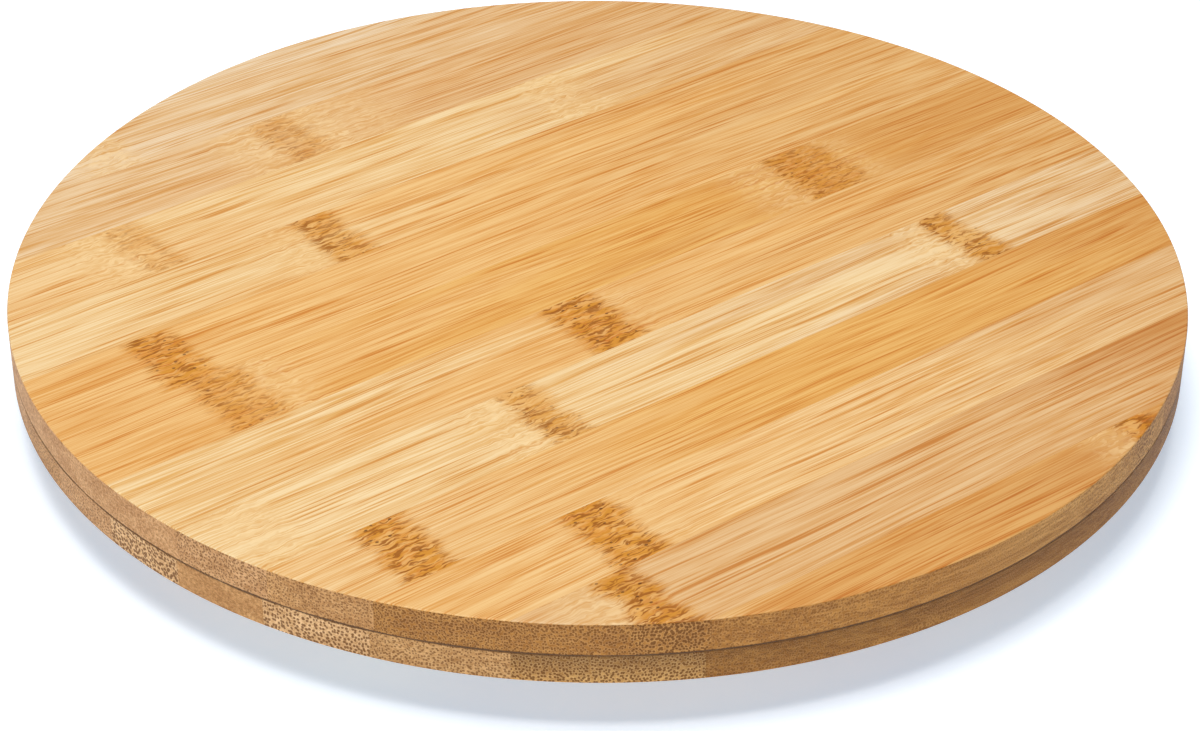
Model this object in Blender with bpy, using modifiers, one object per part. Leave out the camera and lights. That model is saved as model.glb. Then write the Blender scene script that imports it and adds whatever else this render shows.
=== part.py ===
"""Lazy susan: a round laminated board that turns on a low ring bearing with rubber feet.

The board is screwed to the bearing's outer ring. The inner ring stands on the feet. A caged row of
balls runs in a groove between the two rings. Origin: on the turning axis, where the feet meet the
table. +Z is up, and the board's grain runs along X. Sizes are in metres.
"""

import math

import bmesh
import bpy
from mathutils import Matrix, Vector

# Board
BOARD_DIAMETER = 0.300
UPPER_PLY_THICKNESS = 0.0085
LOWER_PLY_THICKNESS = 0.0076
BOARD_ARRIS = 0.0005

# Balls and their cage
BALL_CIRCLE_DIAMETER = 0.170
BALL_DIAMETER = 0.005
BALL_COUNT = 24
CAGE_THICKNESS = 0.0018
CAGE_WEB = 0.0006

# Rings: the inner one sits a step lower, so that only the outer one meets the board. The skin is
# the metal above and below the filling hole, the wall and the margin what is left beside a hole.
RING_STEP = 0.001
RING_SKIN = 0.0005
RING_CHAMFER = 0.0004
OUTER_RING_WALL = 0.0024
INNER_RING_MARGIN = 0.0012

# Screws that hold the outer ring to the board, and how far they bite into it
SCREW_COUNT = 6
SCREW_HEAD_DIAMETER = 0.007
SCREW_HEAD_RIM = 0.0003
SCREW_SHANK_DIAMETER = 0.0035
SCREW_BITE = 0.0052
SCREW_TIP_LENGTH = 0.0025
SCREW_RECESS_SPAN = 0.0042
SCREW_RECESS_WIDTH = 0.0009
SCREW_RECESS_DEPTH = 0.0014

# Feet
FOOT_COUNT = 6
FOOT_DIAMETER = 0.012
FOOT_HEIGHT = 0.003
FOOT_ROUNDING = 0.0012
FOOT_STEM_DIAMETER = 0.0052
FOOT_BULB_DIAMETER = 0.0074
FOOT_BULB_HEIGHT = 0.0018
FOOT_BULB_RIM = 0.0006

# Hexagon socket in the plug of the filling hole, measured across its corners
PLUG_SOCKET_DIAMETER = 0.0025
PLUG_SOCKET_DEPTH = 0.002

# Clearances: between pieces that seat on or in each other, and between a ball and its groove
SEAT_GAP = 0.0003
RACE_CLEARANCE = 0.00015

# Facets
BOARD_STEPS = 144
FACETS_PER_BALL = 3
RACE_ARC_SEGMENTS = 6
BALL_SEGMENTS = 12
BALL_RINGS = 8
SMALL_PART_STEPS = 12
FOOT_STEPS = 16
ROUNDING_SEGMENTS = 3
POCKET_STEPS = 12
SHARP_ANGLE = math.radians(30)
MERGE_DISTANCE = 0.00001

# Worked out from the sizes above
ball_circle_radius = BALL_CIRCLE_DIAMETER / 2
ball_radius = BALL_DIAMETER / 2
race_radius = ball_radius + RACE_CLEARANCE
half_ring_gap = CAGE_THICKNESS / 2 + SEAT_GAP
race_half_angle = math.acos(half_ring_gap / race_radius)
race_depth = race_radius - half_ring_gap
ring_steps = BALL_COUNT * FACETS_PER_BALL
first_ball_angle = math.pi / ring_steps

filling_hole_radius = ball_radius + SEAT_GAP
ring_height = 2 * filling_hole_radius + 2 * RING_SKIN + RING_STEP

head_hole_radius = SCREW_HEAD_DIAMETER / 2 + SEAT_GAP
shank_hole_radius = SCREW_SHANK_DIAMETER / 2 + SEAT_GAP
outer_ring_inside = ball_circle_radius + half_ring_gap
screw_circle_radius = outer_ring_inside + race_depth + OUTER_RING_WALL + head_hole_radius
outer_ring_outside = screw_circle_radius + head_hole_radius + OUTER_RING_WALL

foot_radius = FOOT_DIAMETER / 2
inner_ring_outside = ball_circle_radius - half_ring_gap
foot_circle_radius = inner_ring_outside - race_depth - INNER_RING_MARGIN - foot_radius
inner_ring_bore = foot_circle_radius - foot_radius - INNER_RING_MARGIN

# Heights above the table
inner_ring_bottom = FOOT_HEIGHT + SEAT_GAP
inner_ring_top = inner_ring_bottom + ring_height
outer_ring_bottom = inner_ring_bottom + RING_STEP
outer_ring_top = outer_ring_bottom + ring_height
ball_height = outer_ring_bottom + RING_SKIN + filling_hole_radius
lower_ply_bottom = outer_ring_top + SEAT_GAP
lower_ply_top = lower_ply_bottom + LOWER_PLY_THICKNESS
upper_ply_bottom = lower_ply_top + SEAT_GAP
upper_ply_top = upper_ply_bottom + UPPER_PLY_THICKNESS
bulb_top = inner_ring_top - SEAT_GAP
bulb_bottom = bulb_top - FOOT_BULB_HEIGHT
screw_face = outer_ring_bottom + SEAT_GAP
screw_tip = lower_ply_bottom + SCREW_BITE


def clear_scene():
    for scene_object in list(bpy.data.objects):
        bpy.data.objects.remove(scene_object, do_unlink=True)


def new_collection(name):
    collection = bpy.data.collections.new(name)
    bpy.context.scene.collection.children.link(collection)
    return collection


def new_material(name, colour, roughness, metallic=0.0):
    material = bpy.data.materials.new(name)
    material.use_nodes = True
    shader = material.node_tree.nodes["Principled BSDF"]
    shader.inputs["Base Color"].default_value = (*colour, 1.0)
    shader.inputs["Roughness"].default_value = roughness
    shader.inputs["Metallic"].default_value = metallic
    return material


def new_axis(name):
    """An empty on the turning axis that the pieces of one body hang from."""
    axis = bpy.data.objects.new(name, None)
    parts.objects.link(axis)
    return axis


def place(name, mesh, material, axis, location=(0, 0, 0), turn=0.0):
    """A part from a mesh. Copies of a part share one mesh and its material."""
    if not mesh.materials:
        mesh.materials.append(material)
    part = bpy.data.objects.new(name, mesh)
    part.location = location
    part.rotation_euler = (0, 0, turn)
    part.parent = axis
    parts.objects.link(part)
    return part


def mesh_from(bm, name, sharp_angle=SHARP_ANGLE):
    mesh = bpy.data.meshes.new(name)
    bm.to_mesh(mesh)
    bm.free()
    mesh.shade_smooth()
    mesh.set_sharp_from_angle(angle=sharp_angle)
    return mesh


def turned_mesh(name, profile, steps, closed=False):
    """A profile of (radius, height) points turned about Z with a Screw modifier."""
    outline = bpy.data.meshes.new(name + "_profile")
    points = [(radius, 0, height) for radius, height in profile]
    edges = [(index, index + 1) for index in range(len(points) - 1)]
    if closed:
        edges.append((len(points) - 1, 0))
    outline.from_pydata(points, edges, [])
    blank = bpy.data.objects.new(name + "_profile", outline)
    bpy.context.scene.collection.objects.link(blank)
    screw = blank.modifiers.new("Turn", "SCREW")
    screw.axis = "Z"
    screw.steps = steps
    screw.render_steps = steps
    screw.use_merge_vertices = True
    screw.merge_threshold = MERGE_DISTANCE
    evaluated = blank.evaluated_get(bpy.context.evaluated_depsgraph_get())
    mesh = bpy.data.meshes.new_from_object(evaluated)
    bpy.data.objects.remove(blank, do_unlink=True)
    mesh.name = name
    mesh.shade_smooth()
    mesh.set_sharp_from_angle(angle=SHARP_ANGLE)
    return mesh


def arc(centre, radius, start, end, segments):
    """Points on an arc in the profile plane, both ends included, angles counted from +X to +Z."""
    angles = [start + (end - start) * index / segments for index in range(segments + 1)]
    return [(centre[0] + radius * math.cos(a), centre[1] + radius * math.sin(a)) for a in angles]


def around(count, first=0.0):
    return [first + math.tau * index / count for index in range(count)]


def on_circle(radius, angle, height=0.0):
    return Vector((radius * math.cos(angle), radius * math.sin(angle), height))


def add_cutter(name, mesh, group, location=(0, 0, 0), turn=0.0):
    cutter = bpy.data.objects.new(name, mesh)
    cutter.location = location
    cutter.rotation_euler = (0, 0, turn)
    cutter.display_type = "WIRE"
    cutter.hide_render = True
    group.objects.link(cutter)
    return cutter


def cut(part, group, crossing=False):
    """Take every cutter in a collection out of a part. Crossing cutters overlap themselves."""
    boolean = part.modifiers.new("Cut", "BOOLEAN")
    boolean.operation = "DIFFERENCE"
    boolean.solver = "EXACT"
    boolean.operand_type = "COLLECTION"
    boolean.collection = group
    boolean.use_self = crossing


def cutter_group(name):
    group = bpy.data.collections.new(name)
    cutters.children.link(group)
    return group


def radial_cylinder(radius, inner_end, outer_end, height, segments):
    """Matrix and sizes of a cylinder that lies along +X, for bmesh.ops.create_cone."""
    middle = (inner_end + outer_end) / 2
    lie_down = Matrix.Translation((middle, 0, height)) @ Matrix.Rotation(math.pi / 2, 4, "Y")
    return dict(
        cap_ends=True,
        segments=segments,
        radius1=radius,
        radius2=radius,
        depth=outer_end - inner_end,
        matrix=lie_down,
    )


def make_board():
    """Two plies with a thin glue line between them, eased only at the top and bottom rims."""
    radius = BOARD_DIAMETER / 2
    upper_profile = [
        (0, upper_ply_top),
        (radius - BOARD_ARRIS, upper_ply_top),
        (radius, upper_ply_top - BOARD_ARRIS),
        (radius, upper_ply_bottom),
        (0, upper_ply_bottom),
    ]
    lower_profile = [
        (0, lower_ply_top),
        (radius, lower_ply_top),
        (radius, lower_ply_bottom + BOARD_ARRIS),
        (radius - BOARD_ARRIS, lower_ply_bottom),
        (0, lower_ply_bottom),
    ]
    place("upper_ply", turned_mesh("upper_ply", upper_profile, BOARD_STEPS), bamboo, tray_axis)
    lower_ply = place(
        "lower_ply", turned_mesh("lower_ply", lower_profile, BOARD_STEPS), bamboo_edge, tray_axis
    )

    pilot_top = screw_tip + SEAT_GAP
    pilot_profile = [
        (0, pilot_top),
        (shank_hole_radius, pilot_top),
        (shank_hole_radius, lower_ply_bottom - SEAT_GAP / 2),
        (0, lower_ply_bottom - SEAT_GAP / 2),
    ]
    pilots = cutter_group("lower_ply_cutters")
    pilot = turned_mesh("pilot_hole", pilot_profile, SMALL_PART_STEPS)
    for index, angle in enumerate(screw_angles, start=1):
        add_cutter(f"pilot_hole_{index}", pilot, pilots, on_circle(screw_circle_radius, angle))
    cut(lower_ply, pilots)


def make_outer_ring():
    """Turned ring with a ball groove inside it, countersunk screw holes and the filling hole."""
    inside = outer_ring_inside
    outside = outer_ring_outside
    top = outer_ring_top
    bottom = outer_ring_bottom
    groove = arc(
        (ball_circle_radius, ball_height),
        race_radius,
        -race_half_angle,
        race_half_angle,
        RACE_ARC_SEGMENTS,
    )
    profile = [
        (outside - RING_CHAMFER, top),
        (outside, top - RING_CHAMFER),
        (outside, bottom + RING_CHAMFER),
        (outside - RING_CHAMFER, bottom),
        (inside + RING_CHAMFER, bottom),
        (inside, bottom + RING_CHAMFER),
        *groove,
        (inside, top - RING_CHAMFER),
        (inside + RING_CHAMFER, top),
    ]
    ring = place(
        "bearing_outer_ring",
        turned_mesh("bearing_outer_ring", profile, ring_steps, closed=True),
        aluminium,
        tray_axis,
    )

    holes = cutter_group("outer_ring_cutters")
    cone_top = screw_face + SCREW_HEAD_RIM + head_hole_radius - shank_hole_radius
    hole_profile = [
        (0, top + SEAT_GAP),
        (shank_hole_radius, top + SEAT_GAP),
        (shank_hole_radius, cone_top),
        (head_hole_radius, screw_face + SCREW_HEAD_RIM),
        (head_hole_radius, bottom - SEAT_GAP),
        (0, bottom - SEAT_GAP),
    ]
    screw_hole = turned_mesh("screw_hole", hole_profile, SMALL_PART_STEPS)
    for index, angle in enumerate(screw_angles, start=1):
        add_cutter(f"screw_hole_{index}", screw_hole, holes, on_circle(screw_circle_radius, angle))

    filling_hole = bmesh.new()
    bmesh.ops.create_cone(
        filling_hole,
        **radial_cylinder(
            filling_hole_radius,
            ball_circle_radius,
            outside + SEAT_GAP,
            ball_height,
            SMALL_PART_STEPS,
        ),
    )
    add_cutter("filling_hole", mesh_from(filling_hole, "filling_hole"), holes)
    cut(ring, holes)


def make_inner_ring():
    """Turned ring with a ball groove outside it and stepped holes for the feet."""
    bore = inner_ring_bore
    outside = inner_ring_outside
    top = inner_ring_top
    bottom = inner_ring_bottom
    groove = arc(
        (ball_circle_radius, ball_height),
        race_radius,
        math.pi - race_half_angle,
        math.pi + race_half_angle,
        RACE_ARC_SEGMENTS,
    )
    profile = [
        (outside - RING_CHAMFER, top),
        (outside, top - RING_CHAMFER),
        *groove,
        (outside, bottom + RING_CHAMFER),
        (outside - RING_CHAMFER, bottom),
        (bore + RING_CHAMFER, bottom),
        (bore, bottom + RING_CHAMFER),
        (bore, top - RING_CHAMFER),
        (bore + RING_CHAMFER, top),
    ]
    ring = place(
        "bearing_inner_ring",
        turned_mesh("bearing_inner_ring", profile, ring_steps, closed=True),
        aluminium,
        base_axis,
    )

    holes = cutter_group("inner_ring_cutters")
    stem_hole_radius = FOOT_STEM_DIAMETER / 2 + SEAT_GAP
    bulb_hole_radius = FOOT_BULB_DIAMETER / 2 + SEAT_GAP
    shoulder = bulb_bottom - SEAT_GAP
    hole_profile = [
        (0, top + SEAT_GAP),
        (bulb_hole_radius, top + SEAT_GAP),
        (bulb_hole_radius, shoulder),
        (stem_hole_radius, shoulder),
        (stem_hole_radius, bottom - SEAT_GAP),
        (0, bottom - SEAT_GAP),
    ]
    foot_hole = turned_mesh("foot_hole", hole_profile, FOOT_STEPS)
    for index, angle in enumerate(foot_angles, start=1):
        add_cutter(f"foot_hole_{index}", foot_hole, holes, on_circle(foot_circle_radius, angle))
    cut(ring, holes)


def make_cage():
    """Thin ring with a round pocket through it for each ball."""
    half_height = ball_radius + SEAT_GAP + CAGE_WEB
    outside = ball_circle_radius + CAGE_THICKNESS / 2
    inside = ball_circle_radius - CAGE_THICKNESS / 2
    profile = [
        (outside, ball_height + half_height),
        (outside, ball_height - half_height),
        (inside, ball_height - half_height),
        (inside, ball_height + half_height),
    ]
    cage = place(
        "ball_cage", turned_mesh("ball_cage", profile, ring_steps, closed=True), nylon, cage_axis
    )

    pockets = cutter_group("cage_cutters")
    pocket = bmesh.new()
    bmesh.ops.create_cone(
        pocket,
        **radial_cylinder(
            ball_radius + SEAT_GAP,
            inside - SEAT_GAP,
            outside + SEAT_GAP,
            ball_height,
            POCKET_STEPS,
        ),
    )
    pocket_mesh = mesh_from(pocket, "pocket")
    for index, angle in enumerate(ball_angles, start=1):
        add_cutter(f"pocket_{index:02d}", pocket_mesh, pockets, turn=angle)
    cut(cage, pockets)


def make_balls():
    ball = bmesh.new()
    bmesh.ops.create_uvsphere(
        ball, u_segments=BALL_SEGMENTS, v_segments=BALL_RINGS, radius=ball_radius
    )
    ball_mesh = mesh_from(ball, "ball", sharp_angle=math.pi)
    for index, angle in enumerate(ball_angles, start=1):
        centre = on_circle(ball_circle_radius, angle, ball_height)
        place(f"ball_{index:02d}", ball_mesh, steel, cage_axis, centre, angle)


def make_plug():
    """Grub screw along X that closes the filling hole and stops short of the balls."""
    inner_end = ball_circle_radius + race_radius + SEAT_GAP
    outer_end = outer_ring_outside - SEAT_GAP
    body = bmesh.new()
    plug_radius = filling_hole_radius - SEAT_GAP
    bmesh.ops.create_cone(
        body, **radial_cylinder(plug_radius, inner_end, outer_end, ball_height, SMALL_PART_STEPS)
    )
    plug = place("ball_fill_plug", mesh_from(body, "ball_fill_plug"), zinc, tray_axis)

    sockets = cutter_group("plug_cutters")
    socket = bmesh.new()
    bmesh.ops.create_cone(
        socket,
        **radial_cylinder(
            PLUG_SOCKET_DIAMETER / 2,
            outer_end - PLUG_SOCKET_DEPTH,
            outer_end + SEAT_GAP,
            ball_height,
            segments=6,
        ),
    )
    add_cutter("plug_socket", mesh_from(socket, "plug_socket"), sockets)
    cut(plug, sockets)


def make_screws():
    """Countersunk wood screws, head down in the outer ring, with a cross recess."""
    head_radius = SCREW_HEAD_DIAMETER / 2
    shank_radius = SCREW_SHANK_DIAMETER / 2
    neck = screw_face + SCREW_HEAD_RIM + head_radius - shank_radius
    profile = [
        (0, screw_tip),
        (shank_radius, screw_tip - SCREW_TIP_LENGTH),
        (shank_radius, neck),
        (head_radius, screw_face + SCREW_HEAD_RIM),
        (head_radius, screw_face),
        (0, screw_face),
    ]
    screw_mesh = turned_mesh("board_screw", profile, SMALL_PART_STEPS)

    recess = bmesh.new()
    for arm in (0.0, math.pi / 2):
        bmesh.ops.create_cube(
            recess,
            matrix=Matrix.Rotation(arm, 4, "Z")
            @ Matrix.Diagonal((SCREW_RECESS_SPAN, SCREW_RECESS_WIDTH, 2 * SCREW_RECESS_DEPTH, 1)),
        )
    recess_mesh = mesh_from(recess, "cross_recess")
    for index, angle in enumerate(screw_angles, start=1):
        centre = on_circle(screw_circle_radius, angle)
        screw = place(f"board_screw_{index}", screw_mesh, zinc, tray_axis, centre, angle)
        recesses = cutter_group(f"board_screw_{index}_cutters")
        recess_place = centre + Vector((0, 0, screw_face))
        add_cutter(f"cross_recess_{index}", recess_mesh, recesses, recess_place, angle)
        cut(screw, recesses, crossing=True)


def make_feet():
    """Rubber feet: a rounded pad under the ring, a stem through it and a bulb that holds it."""
    rounding = FOOT_ROUNDING
    stem_radius = FOOT_STEM_DIAMETER / 2
    bulb_radius = FOOT_BULB_DIAMETER / 2
    profile = [
        (0, bulb_top),
        (stem_radius, bulb_top),
        (bulb_radius, bulb_bottom + FOOT_BULB_RIM),
        (bulb_radius, bulb_bottom),
        (stem_radius, bulb_bottom),
        (stem_radius, FOOT_HEIGHT),
        (foot_radius, FOOT_HEIGHT),
        *arc((foot_radius - rounding, rounding), rounding, 0, -math.pi / 2, ROUNDING_SEGMENTS),
        (0, 0),
    ]
    foot_mesh = turned_mesh("rubber_foot", profile, FOOT_STEPS)
    for index, angle in enumerate(foot_angles, start=1):
        centre = on_circle(foot_circle_radius, angle)
        place(f"rubber_foot_{index}", foot_mesh, rubber, base_axis, centre, angle)


clear_scene()
parts = new_collection("lazy_susan")
cutters = new_collection("cutters")

bamboo = new_material("bamboo", (0.84, 0.52, 0.26), 0.45)
bamboo_edge = new_material("bamboo_edge", (0.55, 0.33, 0.15), 0.6)
aluminium = new_material("aluminium", (0.72, 0.73, 0.74), 0.35, 1.0)
steel = new_material("steel", (0.62, 0.63, 0.65), 0.15, 1.0)
zinc = new_material("zinc", (0.66, 0.66, 0.62), 0.3, 1.0)
nylon = new_material("nylon", (0.85, 0.85, 0.82), 0.5)
rubber = new_material("rubber", (0.03, 0.03, 0.03), 0.8)

tray_axis = new_axis("tray_axis")
cage_axis = new_axis("cage_axis")
base_axis = new_axis("base_axis")

screw_angles = around(SCREW_COUNT, first=math.pi / SCREW_COUNT)
foot_angles = around(FOOT_COUNT)
ball_angles = around(BALL_COUNT, first=first_ball_angle)

make_board()
make_outer_ring()
make_inner_ring()
make_cage()
make_balls()
make_plug()
make_screws()
make_feet()
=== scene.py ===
"""Looks of a bamboo lazy susan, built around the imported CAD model.

The board's two plies are cut into glued strips with Geometry Nodes, and each strip carries its own
tones and knuckles as mesh attributes, which one bamboo material reads. The ring bearing under the
board is turned again at a finer step, in the places that the CAD model gives. Sizes in materials and
in the rows of strips are in millimetres, all others in metres.
"""

import math

import bmesh
import bpy
import numpy as np
from mathutils import Matrix, Vector


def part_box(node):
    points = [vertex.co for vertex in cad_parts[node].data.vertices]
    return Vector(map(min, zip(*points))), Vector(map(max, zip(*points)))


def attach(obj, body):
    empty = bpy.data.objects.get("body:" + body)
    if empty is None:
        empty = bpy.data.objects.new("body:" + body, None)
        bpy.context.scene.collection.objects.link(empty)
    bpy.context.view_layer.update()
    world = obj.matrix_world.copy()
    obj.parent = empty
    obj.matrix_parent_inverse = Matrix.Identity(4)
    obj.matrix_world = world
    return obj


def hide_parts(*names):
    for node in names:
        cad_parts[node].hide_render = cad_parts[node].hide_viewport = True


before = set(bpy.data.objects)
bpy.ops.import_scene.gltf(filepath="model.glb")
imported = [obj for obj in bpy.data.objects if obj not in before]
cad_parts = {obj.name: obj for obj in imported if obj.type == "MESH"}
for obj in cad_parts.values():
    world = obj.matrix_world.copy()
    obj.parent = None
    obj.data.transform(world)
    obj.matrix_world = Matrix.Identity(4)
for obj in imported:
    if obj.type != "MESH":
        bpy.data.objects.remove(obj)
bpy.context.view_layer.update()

MM = 1000.0

# Camera, in degrees, millimetres of lens and metres: azimuth 0 looks along +Y
CAMERA_AZIMUTH = -37.66
CAMERA_ELEVATION = 33.34
CAMERA_ROLL = 0.313
CAMERA_LENS = 92.6
CAMERA_AIM = (-0.0287, -0.0383)
CAMERA_DISTANCE = 0.7537

# Studio: the glow of the floor under the board and far from it, the distances from the axis in
# millimetres between which it changes, and the sky as light and as seen
NEAR_GLOW = (0.26, 0.37, 0.50)
FAR_GLOW = (0.92, 0.92, 0.93)
GLOW_CHANGES = (250, 900)
FLOOR_REACH = 4.0
SKY_LIGHT = 0.2
SKY_SEEN = 1.0

# Softboxes: name, place as seen from the camera (right, away, up), width in metres, power in watts
SOFTBOXES = [
    ("key", (-0.1, 0.0, 1.5), 0.85, 25.0),
    ("fill", (-0.7, -1.6, 0.45), 1.2, 9.0),
]

# Facets, the angles past which an edge stays sharp, and the upright part of a face's normal from
# which it counts as level, and below which as rim
BOARD_FACETS = 720
RING_FACETS = 288
BALL_FACETS = 24
SMALL_FACETS = 48
ARRIS_FACETS = 3
CURVE_FACETS = 10
ROUNDING_FACETS = 4
SHARP_ANGLE = math.radians(25)
BOARD_SHARP_ANGLE = math.radians(12)
FLAT_NORMAL = 0.99
EDGE_NORMAL = 0.6

# Sizes that a box of a CAD node doesn't tell
ARRIS = 0.0004
JOINT_WIDTH = 0.00001
GLUE_INSET = 0.0001
SEAT_GAP = 0.0003
CAGE_THICKNESS = 0.0018
RACE_CLEARANCE = 0.00015
RING_CHAMFER = 0.0004
CAGE_CHAMFER = 0.0002
INNER_RING_MARGIN = 0.0012
FOOT_ROUNDING = 0.0012
FOOT_PAD_HEIGHT = 0.0030
TOP_ROUNDING = 0.0003
FOOT_STEM_RADIUS = 0.0026
FOOT_BULB_RADIUS = 0.0037
FOOT_BULB_HEIGHT = 0.0018
BULB_ROUNDING = 0.0004
BULB_TOP_RADIUS = 0.0030
SOLE_DISH = 0.0005
SOLE_GROOVE = 0.0004
SCREW_HEAD_RIM = 0.0003
SCREW_TIP_LENGTH = 0.0025
SCREW_FACETS = 32
THREAD_PITCH = 0.0013
THREAD_ROWS = 8
THREAD_CORE = 0.7
RECESS_SPAN = 0.0042
RECESS_WIDTH = 0.0009
RECESS_DEPTH = 0.0014
RECESS_TAPER = 0.4
SOCKET_RADIUS = 0.00125
SOCKET_DEPTH = 0.002

# Where the dish and the groove of a foot's sole begin and end, as parts of the foot's radius
SOLE_RINGS = (0.36, 0.42, 0.56, 0.59, 0.64, 0.67)

# Relief of the finest patterns, and the specular level of the bamboo
FIBRE_RELIEF = 0.00008
END_GRAIN_RELIEF = 0.00006
METAL_RELIEF = 0.00002
NYLON_RELIEF = 0.00003
RUBBER_RELIEF = 0.00006
FACE_GLOSS = 0.25
END_GRAIN_GLOSS = 0.2

# Bamboo tones, linear red, green and blue
BLUSH = (0.67, 0.475, 0.265)
ROSE = (0.65, 0.425, 0.205)
PEACH = (0.635, 0.375, 0.155)
CREAM = (0.70, 0.47, 0.21)
STRAW = (0.69, 0.43, 0.175)
HONEY = (0.675, 0.38, 0.125)
GOLD = (0.65, 0.34, 0.085)
SAND = (0.625, 0.35, 0.12)
TAN = (0.615, 0.36, 0.145)
AMBER = (0.58, 0.285, 0.075)
COPPER = (0.50, 0.22, 0.055)
KNUCKLE_BROWN = (0.53, 0.215, 0.015)
KNUCKLE_DARK = (0.28, 0.085, 0.004)
PIT_DARK = (0.11, 0.032, 0.003)
SWIRL_PALE = (0.80, 0.57, 0.29)
SWIRL_BROWN = (0.62, 0.33, 0.10)
DARK_GLUE = (0.09, 0.04, 0.012)

# Tints that a tone is multiplied by
FIBRE_PALE = (1.09, 1.23, 1.54)
FIBRE_DEEP = (0.89, 0.72, 0.46)
LINE_DEEP = (0.85, 0.64, 0.42)
KNUCKLE_STAIN = (0.87, 0.59, 0.18)
CLOUD_PALE = (1.06, 1.08, 1.1)
CLOUD_DEEP = (0.90, 0.86, 0.80)
STREAK_PALE = (1.25, 1.3, 1.4)
STREAK_DEEP = (0.76, 0.68, 0.56)
INNER_SHADE = (0.35, 0.30, 0.25)

# End grain tones
END_ROSE = (0.565, 0.295, 0.12)
END_TAN = (0.52, 0.26, 0.09)
END_PALE = (0.67, 0.385, 0.17)
END_BROWN = (0.42, 0.18, 0.036)
END_HONEY = (0.50, 0.24, 0.06)
END_LIGHT = (0.55, 0.29, 0.105)
END_DARK = (0.36, 0.15, 0.026)
END_CHESTNUT = (0.58, 0.30, 0.085)
BUNDLE_DARK = (0.15, 0.052, 0.008)
SHEATH_PALE = (0.80, 0.54, 0.28)
GLUE_BROWN = (0.13, 0.05, 0.012)
ROSE_ENDS = (END_ROSE, END_ROSE)
TAN_ENDS = (END_TAN, END_TAN)
PALE_ENDS = (END_PALE, END_PALE)
BROWN_ENDS = (END_BROWN, END_BROWN)

# One strip: where it starts across the board in millimetres, its tones at the left, middle and right,
# its knuckles as (place along the board and half width in millimetres, strength of the dark band, and
# of the swirl beside it, below 0 to the left), the end grain tones of its ends, and its dots as (pitch
# in millimetres, strength, darkening towards the glue line)
UPPER_STRIPS = [
    (141.0, (BLUSH, BLUSH, BLUSH), [], ROSE_ENDS, (0.85, 0.5, 0.0)),
    (116.0, (BLUSH, ROSE, PEACH), [(-66, 4, 0.0, -0.8)], ROSE_ENDS, (0.85, 0.4, 0.0)),
    (
        90.5,
        (ROSE, PEACH, TAN),
        [(-27, 6, 0.4, 0.9), (-30, 6, 0.0, -0.8), (-12, 4, 0.0, 0.5)],
        ROSE_ENDS,
        (0.85, 0.4, 0.0),
    ),
    (64.5, (STRAW, CREAM, TAN), [(-89, 5, 0.35, -1.0), (38, 4, 0.0, 0.8)], ROSE_ENDS, (0.85, 0.4, 0.0)),
    (40.0, (CREAM, HONEY, SAND), [(-47, 5, 0.7, -0.7)], ROSE_ENDS, (0.85, 0.3, 0.0)),
    (15.5, (HONEY, HONEY, SAND), [(-111, 6, 0.9, 0.0)], ROSE_ENDS, (0.85, 0.3, 0.0)),
    (
        -9.5,
        (HONEY, GOLD, AMBER),
        [(-107, 7, 0.6, 0.7), (76, 9, 0.65, 0.5), (70, 8, 0.0, -0.7)],
        ROSE_ENDS,
        (0.85, 0.25, 0.0),
    ),
    (-34.0, (CREAM, HONEY, SAND), [(-18, 7, 0.95, 0.4)], ROSE_ENDS, (0.85, 0.3, 0.0)),
    (
        -59.0,
        (CREAM, CREAM, ROSE),
        [(-52, 4.5, 0.7, -0.9), (84.5, 4.5, 0.8, -0.9), (-124, 4, 0.0, -0.6)],
        ROSE_ENDS,
        (0.78, 0.8, 0.0),
    ),
    (-82.5, (STRAW, GOLD, AMBER), [(-109, 6, 1.0, 0.0)], TAN_ENDS, (0.78, 0.7, 0.0)),
    (-106.5, (HONEY, STRAW, TAN), [(-68, 6, 1.0, 0.3)], BROWN_ENDS, (0.75, 0.85, 0.1)),
    (-132.5, (TAN, TAN, COPPER), [(-78, 5, 1.0, -0.8)], BROWN_ENDS, (0.78, 0.8, 0.0)),
    (-150.0, (SAND, AMBER, COPPER), [(59, 5, 1.0, -0.9)], (END_BROWN, END_HONEY), (0.85, 0.6, 0.0)),
]

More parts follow.
